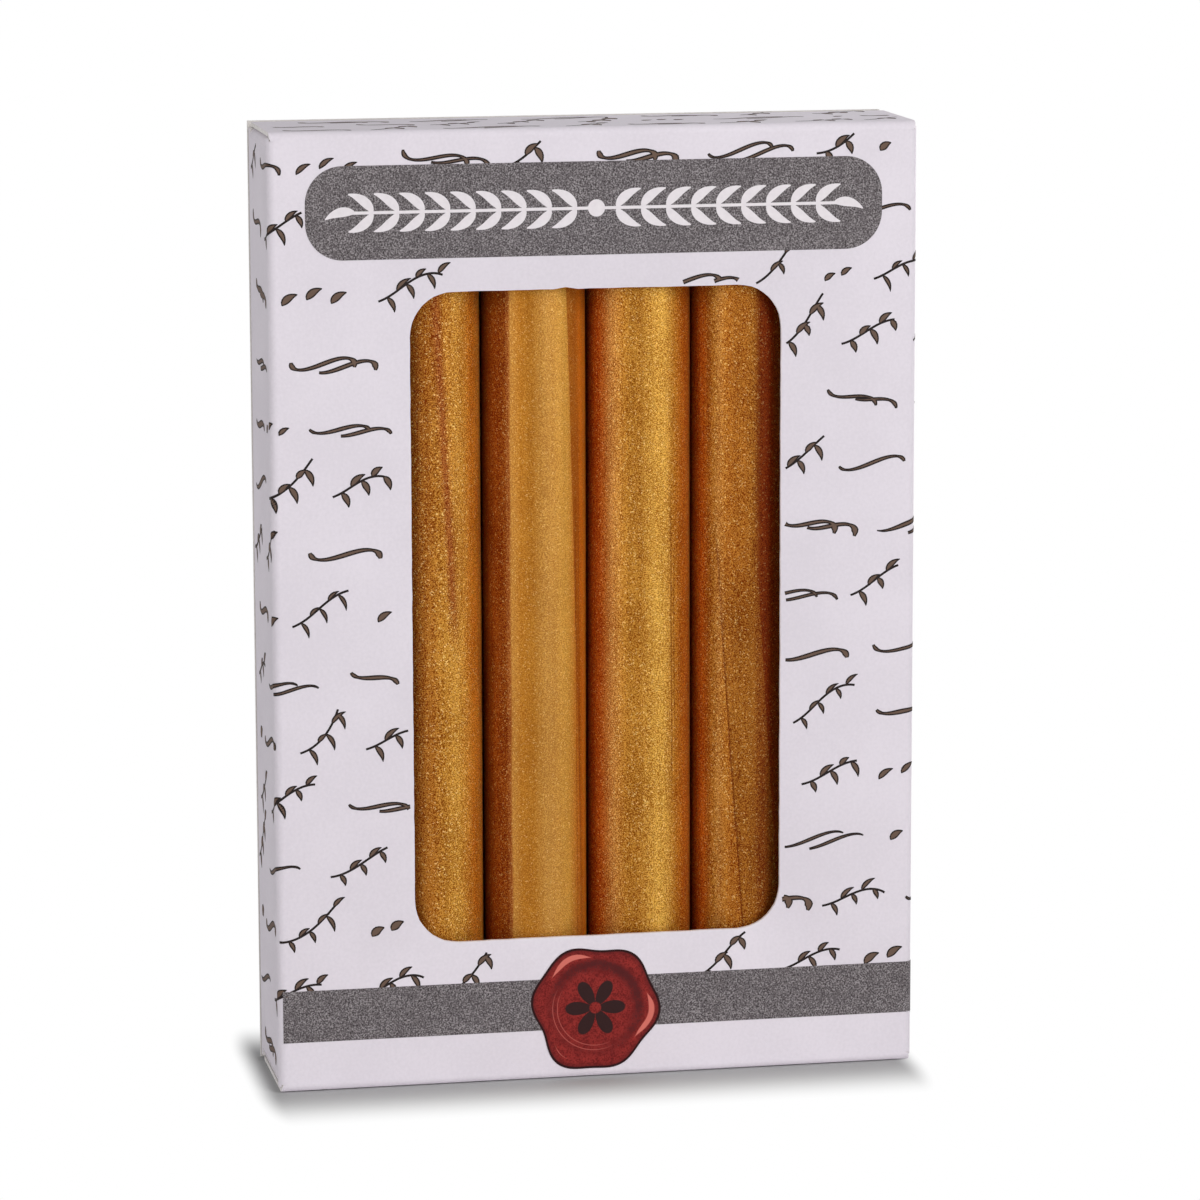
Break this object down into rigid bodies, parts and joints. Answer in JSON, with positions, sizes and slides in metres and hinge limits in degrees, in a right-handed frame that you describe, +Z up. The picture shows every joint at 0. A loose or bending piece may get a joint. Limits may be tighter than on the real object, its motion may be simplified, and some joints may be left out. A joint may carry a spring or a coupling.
{
  "type": "boxed sealing wax sticks",
  "caption": "Slim upright window carton of printed board with tuck-in lids, holding a row of round pearl-gold sealing wax sticks that show through the window.",
  "frame": {"origin": "on the surface it stands on, under the middle of the carton", "axes": "+Z up along the sticks, +Y towards the carton's back, so the window faces -Y, +X to the right"},
  "size_m": [0.0684, 0.016, 0.1011],
  "materials": {
    "printed_board": "matt printed white board",
    "glue": "dried white glue",
    "wax": "pearl gold wax, satin"
  },
  "bodies": {
    "carton": {"front_panel": "printed_board", "back_panel": "printed_board", "left_side_panel": "printed_board", "right_side_panel": "printed_board", "glue_flap": "printed_board", "seam_glue": "glue"},
    "top_lid": {"top_lid": "printed_board"},
    "top_tuck_tongue": {"top_tuck_tongue": "printed_board"},
    "top_left_dust_flap": {"top_left_dust_flap": "printed_board"},
    "top_right_dust_flap": {"top_right_dust_flap": "printed_board"},
    "bottom_lid": {"bottom_lid": "printed_board"},
    "bottom_tuck_tongue": {"bottom_tuck_tongue": "printed_board"},
    "bottom_left_dust_flap": {"bottom_left_dust_flap": "printed_board"},
    "bottom_right_dust_flap": {"bottom_right_dust_flap": "printed_board"},
    "wax_stick_1": {"wax_stick_1": "wax"},
    "wax_stick_2": {"wax_stick_2": "wax"},
    "wax_stick_3": {"wax_stick_3": "wax"},
    "wax_stick_4": {"wax_stick_4": "wax"},
    "wax_stick_5": {"wax_stick_5": "wax"},
    "wax_stick_6": {"wax_stick_6": "wax"}
  },
  "joints": [
    {"name": "top_lid_hinge", "type": "hinge", "parent": "carton", "child": "top_lid", "pos_m": [0, -0.00774, 0.10084], "axis": [1, 0, 0], "range_deg": [0, 120]},
    {"name": "top_tongue_crease", "type": "hinge", "parent": "top_lid", "child": "top_tuck_tongue", "pos_m": [0, 0.00637, 0.10052], "axis": [-1, 0, 0], "range_deg": [0, 72]},
    {"name": "top_left_dust_flap_crease", "type": "hinge", "parent": "carton", "child": "top_left_dust_flap", "pos_m": [-0.03399, 0, 0.10029], "axis": [0, -1, 0], "range_deg": [0, 40]},
    {"name": "top_right_dust_flap_crease", "type": "hinge", "parent": "carton", "child": "top_right_dust_flap", "pos_m": [0.03399, 0, 0.10029], "axis": [0, 1, 0], "range_deg": [0, 40]},
    {"name": "bottom_lid_hinge", "type": "hinge", "parent": "carton", "child": "bottom_lid", "pos_m": [0, -0.00774, 0.00026], "axis": [-1, 0, 0], "range_deg": [0, 120]},
    {"name": "bottom_tongue_crease", "type": "hinge", "parent": "bottom_lid", "child": "bottom_tuck_tongue", "pos_m": [0, 0.00637, 0.00058], "axis": [1, 0, 0], "range_deg": [0, 72]},
    {"name": "bottom_left_dust_flap_crease", "type": "hinge", "parent": "carton", "child": "bottom_left_dust_flap", "pos_m": [-0.03399, 0, 0.00081], "axis": [0, 1, 0], "range_deg": [0, 40]},
    {"name": "bottom_right_dust_flap_crease", "type": "hinge", "parent": "carton", "child": "bottom_right_dust_flap", "pos_m": [0.03399, 0, 0.00081], "axis": [0, -1, 0], "range_deg": [0, 40]},
    {"name": "stick_1_slide", "type": "slide", "parent": "carton", "child": "wax_stick_1", "axis": [0, 0, 1], "range_m": [0, 0.0013]},
    {"name": "stick_2_slide", "type": "slide", "parent": "carton", "child": "wax_stick_2", "axis": [0, 0, 1], "range_m": [0, 0.0013]},
    {"name": "stick_3_slide", "type": "slide", "parent": "carton", "child": "wax_stick_3", "axis": [0, 0, 1], "range_m": [0, 0.0024]},
    {"name": "stick_4_slide", "type": "slide", "parent": "carton", "child": "wax_stick_4", "axis": [0, 0, 1], "range_m": [0, 0.0024]},
    {"name": "stick_5_slide", "type": "slide", "parent": "carton", "child": "wax_stick_5", "axis": [0, 0, 1], "range_m": [0, 0.0013]},
    {"name": "stick_6_slide", "type": "slide", "parent": "carton", "child": "wax_stick_6", "axis": [0, 0, 1], "range_m": [0, 0.0013]}
  ],
  "couplings": [
    {"joint": "top_tongue_crease", "follows": "top_lid_hinge", "ratio": 0.6},
    {"joint": "top_left_dust_flap_crease", "follows": "top_lid_hinge", "ratio": 0.33333},
    {"joint": "top_right_dust_flap_crease", "follows": "top_lid_hinge", "ratio": 0.33333},
    {"joint": "bottom_tongue_crease", "follows": "bottom_lid_hinge", "ratio": 0.6},
    {"joint": "bottom_left_dust_flap_crease", "follows": "bottom_lid_hinge", "ratio": 0.33333},
    {"joint": "bottom_right_dust_flap_crease", "follows": "bottom_lid_hinge", "ratio": 0.33333}
  ]
}
